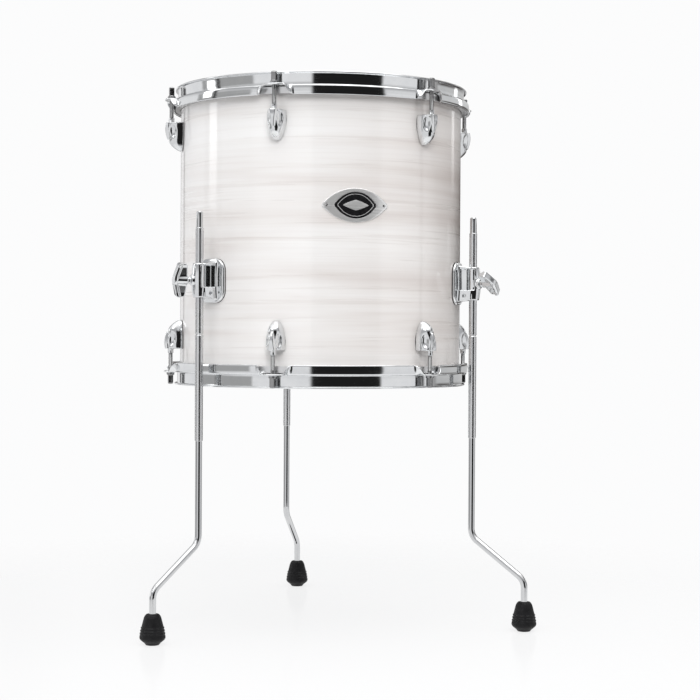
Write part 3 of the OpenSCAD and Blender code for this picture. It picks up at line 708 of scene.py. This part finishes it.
# ------------------------------------------------------------------ wing bolts
def wing_f(u, y, w):
    """u along the bolt, y across the blade, w along the arms."""
    aw, ay = np.abs(w), np.abs(y)
    outer = 33.3 - 5.6 * (aw / 21) ** 1.25
    inner = 15.8 + 1.6 * (aw / 21) ** 2
    # blade outline, closed round at the tips
    tipc = np.hypot(np.maximum(aw - 15.4, 0), np.maximum(np.abs(u - 23.2) - 2.0, 0)) - 5.5
    prof = smax(smax(u - outer, inner - u, 1.5), np.where(aw > 15.4, tipc, -5), 1.2)
    prof = smax(prof, aw - 21, 1.6)
    # thin web with a thick outer rim that runs from tip to tip
    rim_d = outer - u
    th = 2.1 + 1.9 * (1 - smooth(rim_d, 3.4, 6.0)) + 0.5 * smooth(aw, 15, 20)
    blade = smax(prof, ay - th, 1.1)
    hub = smax(np.hypot(y, w) - (5.0 - 0.05 * (u - 16)), smax(15.5 - u, u - 31.0, 1.0), 0.9)
    out = smin(blade, hub, 2.2)
    # six-sided collar, then the threaded shank
    hexd = np.maximum(np.abs(y), np.maximum(np.abs(y * 0.5 + w * 0.8660), np.abs(y * 0.5 - w * 0.8660)))
    col = smax(hexd - 3.75, smax(11.8 - u, u - 17, 0.5), 0.4)
    out = smin(out, col, 0.4)
    shank = np.maximum(np.hypot(y, w) - 2.95, np.maximum(7.0 - u, u - 13))
    return np.minimum(out, shank)


WV, WF = polygonise(wing_f, (6.2, -7, -23), (36, 7, 23), 0.6)
WTURN = [-15, 57, 20]
for i, nme in enumerate(NAMES):
    tw = R(WTURN[i])
    u, y, w = WV[:, 0], WV[:, 1], WV[:, 2]
    y1, z1 = y * math.cos(tw) - w * math.sin(tw), y * math.sin(tw) + w * math.cos(tw)
    c_, s_ = math.cos(R(-20)), math.sin(R(-20))
    P = np.stack([198.1 + u * c_ - y1 * s_, u * s_ + y1 * c_, BRZ * 1000 + z1], 1) / 1000
    make(f"wing_bolt_casting_{nme}", place(P, LEGS[i]), flip(WF), chrome, f"wing_bolt_{nme}", [f"wing_bolt_{nme}"], angle=60)


# ------------------------------------------------------------------ legs and feet
def leg_path():
    """Points down the rod's centreline with radius and kind, in mm: (x, z, tangent angle, radius, kind)."""
    L = []
    r_p, r_k = 4.1, 4.8
    slope = math.atan2(112 - 62, 72)
    ba = math.pi / 2 - slope
    tl = 18 * math.tan(ba / 2)

    def add(x, z, a, r, kind=0):
        L.append((x, z, a, r, kind))

    dn = -math.pi / 2
    for r, z in ((0.001, 508), (2.0, 508), (2.9, 507.9), (3.5, 507.5), (3.95, 506.8), (4.1, 506.2)):
        add(0, z, dn, r)
    add(0, 498, dn, r_p)
    add(0, 488.6, dn, r_p)
    z = 488.0
    j = 0
    while z > 234.2:
        g = abs(z - 361) < 1.0
        add(0, z, dn, r_k - 0.65 if g else r_k, 0 if g else (1 if j % 2 else 2))
        z -= 0.8
        j += 1
    add(0, 233.8, dn, r_p)
    add(0, 200, dn, r_p)
    z0 = 112 + tl
    add(0, z0 + 12, dn, r_p)
    cx, cz = 18, z0
    for k in range(15):
        th = ba * k / 14
        add(cx - 18 * math.cos(th), cz - 18 * math.sin(th), dn + th, r_p)
    x1, z1 = L[-1][0], L[-1][1]
    x2, z2 = 72 - (1 - math.cos(ba)) * 18, 62 - tl + 18 * math.sin(ba)
    for k in (0.25, 0.5, 0.75):
        add(x1 + (x2 - x1) * k, z1 + (z2 - z1) * k, dn + ba, r_p)
    cx, cz = 72 - 18, 62 - tl
    for k in range(15):
        th = ba * (1 - k / 14)
        add(cx + 18 * math.cos(th), cz + 18 * math.sin(th), dn + th, r_p)
    add(72, 30, dn, r_p)
    add(72, 10, dn, r_p)
    add(72, 9.5, dn, 3.4)
    add(72, 9.4, dn, 0.001)
    return L


def leg_mesh(n=40):
    V = []
    path = leg_path()
    for x, z, a, r, kind in path:
        tx, tz = math.cos(a), math.sin(a)
        nx, nz = -tz, tx  # in-plane normal
        for k in range(n):
            ph = 2 * math.pi * k / n
            rr = r
            if kind:
                rr = r - (0.32 if (k + kind) % 2 else 0.0)
            V.append((x + rr * math.cos(ph) * nx, -rr * math.sin(ph), z + rr * math.cos(ph) * nz))
    F = grid_faces(len(path), n, False, True)
    kinds = [p[4] for p in path]
    mi = []
    for i in range(len(path) - 1):
        mi += [1 if kinds[i] and kinds[i + 1] else 0] * n
    return np.array(V) / 1000, F, mi


TURNS = [4, -14, -25]
PV, PF, PM = leg_mesh()


def leg_place(P, i):
    c_, s_ = math.cos(R(TURNS[i])), math.sin(R(TURNS[i]))
    Q = np.stack([LEG_R + P[:, 0] * c_ - P[:, 1] * s_, P[:, 0] * s_ + P[:, 1] * c_, P[:, 2]], 1)
    return place(Q, LEGS[i])


def foot_mesh():
    prof = [(0, 0.0), (4.0, 0.0), (7.0, 0.0), (7.7, 0.15), (8.2, 0.7), (8.9, 1.7), (10.2, 3.0), (12.0, 4.4), (13.6, 5.7), (14.5, 6.8), (15.05, 7.9), (15.25, 8.9)]
    body = [(8.9, 15.3), (10.5, 15.05), (12.4, 14.55), (14.8, 14.05), (17, 13.75), (19, 13.35), (21.3, 12.85), (24, 12.15), (27, 11.4), (29.5, 10.75), (31.6, 10.2), (33.4, 9.4), (34.8, 8.5), (35.6, 7.6)]
    zs = [b[0] for b in body]
    rs = [b[1] for b in body]
    for z in np.arange(9.3, 35.6, 0.32):
        prof.append((float(np.interp(z, zs, rs)), float(z)))
    prof += [(7.3, 35.85), (6.6, 36.0), (5.2, 36.0), (4.25, 35.8), (4.15, 35.2), (4.15, 30)]
    n = 96
    V, F = [], []
    for j, (r, z) in enumerate(prof):
        for k in range(n):
            a = 2 * math.pi * k / n
            gap = 0.5 + 0.5 * math.cos(6 * a)
            msk = 1 - float(smooth(np.array(gap), 0.90, 0.97))
            rib = 0.0
            for zr in (13.6, 16.9, 20.2):
                rib += 0.75 * math.exp(-((z - zr) / 0.62) ** 2)
            rr = r + rib * msk if 10 < z < 24 else r
            rr = min(rr, 15.4)
            V.append((72 + max(rr, 0.02) * math.cos(a), max(rr, 0.02) * math.sin(a), z))
    F = grid_faces(len(prof), n, False, True)
    return np.array(V) / 1000, F


FV, FF = foot_mesh()
for i, nme in enumerate(NAMES):
    make(f"leg_bar_{nme}", leg_place(PV, i), PF, chrome_leg, f"leg_{nme}", [f"leg_rod_{nme}"], angle=14, mats=[chrome_leg, knurl_m], midx=PM)
    make(f"foot_boot_{nme}", leg_place(FV, i), FF, rubber, f"leg_{nme}", [f"foot_{nme}"], angle=50)

# ------------------------------------------------------------------ shell wrap, heads and badge
rw = 0.1775
wrap_prof = [(rw - 0.0004, BOT + 0.004), (rw - 0.0001, BOT + 0.004), (rw, BOT + 0.0042)] + [(rw, z) for z in np.linspace(BOT + 0.01, TOP - 0.01, 14)] + [(rw, TOP - 0.0042), (rw - 0.0001, TOP - 0.004), (rw - 0.0004, TOP - 0.004)]
V, F = lathe(wrap_prof, 360, DX, DY)
w_ob = make("wrap_skin", V, F, wrap, "root", ["shell_wrap"], angle=40)
cut_me = bpy.data.meshes.new("cut")
cv, cf = lathe([(0, -0.03), (0.0053, -0.03), (0.0053, 0.03), (0, 0.03)], 32)
cv = [(DX + x, DY + rw + z, 0.5138 + y) for x, y, z in cv]
cut_me.from_pydata(cv, [], cf)
cut = bpy.data.objects.new("cut", cut_me)
scene.collection.objects.link(cut)
md = w_ob.modifiers.new("vent", "BOOLEAN")
md.object = cut
md.operation = "DIFFERENCE"
md.solver = "EXACT"
dg = bpy.context.evaluated_depsgraph_get()
new_me = bpy.data.meshes.new_from_object(w_ob.evaluated_get(dg))
w_ob.modifiers.clear()
if len(new_me.polygons) > 1000:
    w_ob.data = new_me
bpy.data.objects.remove(cut)


def head(name, low, mat, body_slot, node):
    zt = TOP
    prof = [(0, 0.02), (170, 0.02), (177.3, 0.02), (177.42, -0.1), (177.55, -0.5), (177.55, -10.7), (182.5, -10.7), (182.5, -10.35), (177.95, -10.35), (177.95, -1.2),
            (177.9, -0.5), (177.7, -0.05), (177.3, 0.25), (176.6, 0.38), (175, 0.4), (160, 0.4), (120, 0.4), (80, 0.4), (40, 0.4), (0, 0.4)]
    pts = [(r / 1000, (zt + z / 1000) if not low else (2 * MID - zt - z / 1000)) for r, z in prof]
    V, F = lathe(pts, 240, DX, DY, closed=False)
    make(name, V, flip(F) if low else F, mat, "root", [node], angle=40)


head("batter_head_skin", False, coat, "batter_film", "batter_film")
head("bottom_head_skin", True, clear, "clear_film", "bottom_film")


def lens(k, n=96):
    """Outline of the badge lens scaled by k: list of (x, z) in mm, counter-clockwise."""
    P = []
    kx, kz = k if hasattr(k, "__len__") else (k, k)

    def edge(t_):
        x = 39.98 * math.sin(t_)
        arc = math.sqrt(2601 - x * x) - 31 if abs(x) < 38.5 else 0
        tip = math.sqrt(max(16 - (abs(x) - 36) ** 2, 0)) if abs(x) > 34 else 0
        return x, max(arc, tip)

    for q in range(n):
        x, z_ = edge((-0.5 + (q + 0.5) / n) * math.pi)
        P.append((x * kx, -z_ * kz))
    for q in range(n):
        x, z_ = edge((0.5 - (q + 0.5) / n) * math.pi)
        P.append((x * kx, z_ * kz))
    return P


def lens_stack(levels, fill_last=True, zc=0.5138):
    """levels: (scale, height above the shell in mm); rings inwards, last one filled by shrinking rings."""
    lv = list(levels)
    if fill_last:
        k0, h0 = lv[-1]
        for q in range(1, 9):
            f_ = 1 - q / 8.2
            lv.append(((k0[0] * f_, k0[1] * f_) if hasattr(k0, "__len__") else k0 * f_, h0))
    V = []
    for k, h_ in lv:
        for x, z in lens(k):
            a = x / 178.0
            r = 177.5 + h_
            V.append((DX + r * math.sin(a) / 1000, DY - r * math.cos(a) / 1000, zc + z / 1000))
    n = len(lens(1.0))
    F = grid_faces(len(lv), n, False, True)
    if fill_last:
        o = (len(lv) - 1) * n
        F.append(tuple(o + i for i in range(n)))
    return V, F


V1, F1 = lens_stack([(0.985, 0.06), (0.998, 0.15), (1.0, 0.35), (1.0, 0.85), (0.99, 1.1), (0.972, 1.22), (0.90, 1.25), ((0.70, 0.86), 1.25), ((0.655, 0.80), 1.25), ((0.647, 0.79), 1.18), ((0.641, 0.783), 0.95), ((0.638, 0.78), 0.8)])
make("badge_rim_plate", V1, F1, badge_m, "root", ["badge_plate"], angle=35)
V2, F2 = lens_stack([((0.634, 0.775), 0.8), ((0.634, 0.775), 1.1), ((0.627, 0.768), 1.17), ((0.58, 0.71), 1.19)])
V3, F3 = lens_stack([((0.545, 0.665), 1.0), ((0.545, 0.665), 1.21), ((0.542, 0.662), 1.24), ((0.525, 0.638), 1.24), ((0.522, 0.635), 1.21), ((0.522, 0.635), 1.0)], fill_last=False)
o = len(V2)
F3 = [tuple(i + o for i in f) for f in F3]
# small plain lozenge in the middle
lz = []
lf = []
o2 = len(V2) + len(V3)
for k, h_ in ((1.0, 1.0), (1.0, 1.3), (0.93, 1.42), (0.6, 1.52), (0.0, 1.6)):
    for q in range(48):
        a = 2 * math.pi * q / 48
        ca, sa = math.cos(a), math.sin(a)
        p_ = (abs(ca) ** 1.15 + abs(sa) ** 1.15) ** (-1 / 1.15)
        x, z = 15.5 * k * p_ * ca + (1e-4 * ca if k == 0 else 0), 6.2 * k * p_ * sa + (1e-4 * sa if k == 0 else 0)
        r = 177.5 + h_
        lz.append((DX + r * math.sin(x / 178) / 1000, DY - r * math.cos(x / 178) / 1000, 0.5138 + z / 1000))
lf = [tuple(i + o2 for i in f) for f in grid_faces(5, 48, False, True)]
rv, rf = [], []
o3 = o2 + len(lz)
for sx in (-35.0, 35.0):
    b0 = len(rv)
    for r_, h_ in ((1.45, 1.15), (1.4, 1.42), (1.0, 1.6), (0.01, 1.66)):
        for q in range(24):
            a = 2 * math.pi * q / 24
            x, z = sx + r_ * math.cos(a), r_ * math.sin(a)
            r = 177.5 + h_
            rv.append((DX + r * math.sin(x / 178) / 1000, DY - r * math.cos(x / 178) / 1000, 0.5138 + z / 1000))
    rf += [tuple(i + o3 + b0 for i in f) for f in grid_faces(4, 24, False, True)]
make("badge_face_inlay", V2 + V3 + lz + rv, F2 + F3 + lf + rf, badge_k, "root", ["badge_inlay"], angle=35, mats=[badge_k, badge_m], midx=[0] * len(F2) + [1] * (len(F3) + len(lf)) + [0] * len(rf))

# ------------------------------------------------------------------ materials of the CAD nodes that stay
by_node = {
    "shell_plies": wood, "vent_grommet": chrome, "badge_pins": badge_m, "lug_gaskets": gasket, "lug_screws": zinc,
    "lug_washers": zinc, "batter_flesh_hoop": alu, "bottom_flesh_hoop": alu, "bracket_gaskets": gasket,
    "bracket_screws": zinc, "bracket_washers": zinc,
}
for n in NAMES:
    by_node[f"leg_bushes_{n}"] = nylon
    by_node[f"clamp_pad_{n}"] = zinc
for n, mt in by_node.items():
    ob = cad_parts[n]
    for s_ in ob.material_slots:
        s_.material = mt
    if not ob.material_slots:
        ob.data.materials.append(mt)

# ------------------------------------------------------------------ studio
fm, t = material("studio_floor", Roughness=0.16)
c = t.ramp(t.noise(t.obj(), 2.0, 2, 0.5), [(0.3, (0.890, 0.892, 0.897)), (0.7, (0.900, 0.902, 0.907))])
t.l(c, t.bsdf.inputs["Base Color"])
t.bsdf.inputs["Specular IOR Level"].default_value = 0.5
glow = t.n("ShaderNodeEmission")
glow.inputs["Color"].default_value = (0.972, 0.973, 0.976, 1)
soft = t.n("ShaderNodeMixShader")
soft.inputs[0].default_value = FLOOR_GLOW
t.l(t.bsdf.outputs[0], soft.inputs[1])
t.l(glow.outputs[0], soft.inputs[2])
# the floor sheet fades out away from the drum, so it has no visible edge
sep = t.n("ShaderNodeSeparateXYZ")
t.l(t.obj(), sep.inputs[0])
fx_ = math_node(t, "SUBTRACT", sep.outputs[0], DX)
fy_ = math_node(t, "SUBTRACT", sep.outputs[1], DY)
fr_ = math_node(t, "SQRT", math_node(t, "ADD", math_node(t, "MULTIPLY", fx_, fx_), math_node(t, "MULTIPLY", fy_, fy_)))
fade = t.n("ShaderNodeMapRange", interpolation_type="SMOOTHSTEP")
for k, v in (("From Min", 0.42), ("From Max", 0.95), ("To Min", 0.0), ("To Max", 1.0)):
    fade.inputs[k].default_value = v
t.l(fr_, fade.inputs["Value"])
clr = t.n("ShaderNodeBsdfTransparent")
fin = t.n("ShaderNodeMixShader")
t.l(fade.outputs["Result"], fin.inputs[0])
t.l(soft.outputs[0], fin.inputs[1])
t.l(clr.outputs[0], fin.inputs[2])
t.l(fin.outputs[0], t.nt.nodes["Material Output"].inputs["Surface"])
V, F = lathe([(0, 0), (0.5, 0), (1.0, 0)], 96, DX, DY, closed=False)
me = bpy.data.meshes.new("floor")
me.from_pydata(V, [], flip(F))
me.materials.append(fm)
floor = bpy.data.objects.new("floor", me)
scene.collection.objects.link(floor)

world = bpy.data.worlds.new("studio")
scene.world = world
world.use_nodes = True
wt = world.node_tree
bg = wt.nodes["Background"]
W = NT.__new__(NT)
W.nt = wt
W.bsdf = None
tc = W.n("ShaderNodeTexCoord")
sp = W.n("ShaderNodeSeparateXYZ")
W.l(tc.outputs["Generated"], sp.inputs[0])
# polar angle of the direction in degrees, 0 towards -Y and growing towards +X
neg = math_node(W, "MULTIPLY", sp.outputs[1], -1.0)
az = math_node(W, "MULTIPLY", math_node(W, "ARCTAN2", sp.outputs[0], neg), 180 / math.pi)
el = math_node(W, "MULTIPLY", math_node(W, "ARCSINE", sp.outputs[2]), 180 / math.pi)


def band(x, c0, half, soft):
    """1 inside c0 +- half, 0 outside, with soft edges."""
    d = math_node(W, "ABSOLUTE", math_node(W, "SUBTRACT", x, c0))
    return W.rng(d, half - soft, half + soft, 1.0, 0.0)


def card(az0, halfw, el_lo, el_hi, soft=1.2):
    a = band(az, az0, halfw, soft)
    e = band(el, (el_lo + el_hi) / 2, (el_hi - el_lo) / 2, 2.0)
    return math_node(W, "MULTIPLY", a, e)


col = W.ramp(W.rng(el, -90, 90, 0, 1), [(0.0, (0.80, 0.80, 0.81)), (0.46, (0.86, 0.86, 0.87)), (0.5, (0.92, 0.92, 0.93)), (0.555, (0.92, 0.92, 0.93)), (0.60, (0.50, 0.50, 0.51)), (0.69, (0.52, 0.52, 0.53)), (0.77, (1.25, 1.25, 1.25)), (1.0, (1.35, 1.35, 1.35))])
# dimmer to the right and behind on the right
right = band(az, 134, 46, 9)
col = W.mix(math_node(W, "MULTIPLY", right, band(el, 0, 42, 8)), col, (0.06, 0.050, 0.046))
for a0, hw, e0, e1, val in ((134, 42, 6.6, 17, 0.72), (134, 42, -10, 0.3, 0.62), (-95, 27, -8, 13, 0.42), (7.7, 28, -90, 24, 0.015), (-102.3, 1.8, -40, 50, 0.05), (75.7, 1.8, -40, 50, 0.05), (-163.3, 2.0, -40, 50, 0.05)):
    col = W.mix(card(a0, hw, e0, e1), col, (val, val, val))
for a0, hw, e0, e1, val in ((-110.8, 4.4, 5.0, 40, 3.2), (123.7, 3.2, 6.4, 40, 2.4), (-55, 16, 32, 62, 2.2)):
    col = W.mix(card(a0, hw, e0, e1, 0.6), col, (val, val, val))
W.l(col, bg.inputs["Color"])
bg.inputs["Strength"].default_value = 0.95
bg2 = W.n("ShaderNodeBackground")
bg2.inputs["Color"].default_value = (0.972, 0.973, 0.976, 1)
bg2.inputs["Strength"].default_value = 1.0
lp = W.n("ShaderNodeLightPath")
mx = W.n("ShaderNodeMixShader")
W.l(lp.outputs["Is Camera Ray"], mx.inputs[0])
W.l(bg.outputs[0], mx.inputs[1])
W.l(bg2.outputs[0], mx.inputs[2])
W.l(mx.outputs[0], wt.nodes["World Output"].inputs["Surface"])


def area(name, loc, look, size, power, size_y=None, color=(1, 1, 1)):
    ld = bpy.data.lights.new(name, "AREA")
    ld.shape = "RECTANGLE" if size_y else "SQUARE"
    ld.size = size
    if size_y:
        ld.size_y = size_y
    ld.energy = power
    ld.color = color
    lo_ = bpy.data.objects.new(name, ld)
    scene.collection.objects.link(lo_)
    lo_.location = loc
    d = Vector(look) - Vector(loc)
    lo_.rotation_euler = d.to_track_quat("-Z", "Y").to_euler()
    return lo_


area("overhead", (0.25, -0.5, 2.6), (0, 0, 0.3), 2.2, 22, 1.8)
key = area("key_front", (-0.4, -2.8, 2.0), (0, 0, 0.45), 1.3, 42, 1.3)

key.visible_glossy = False
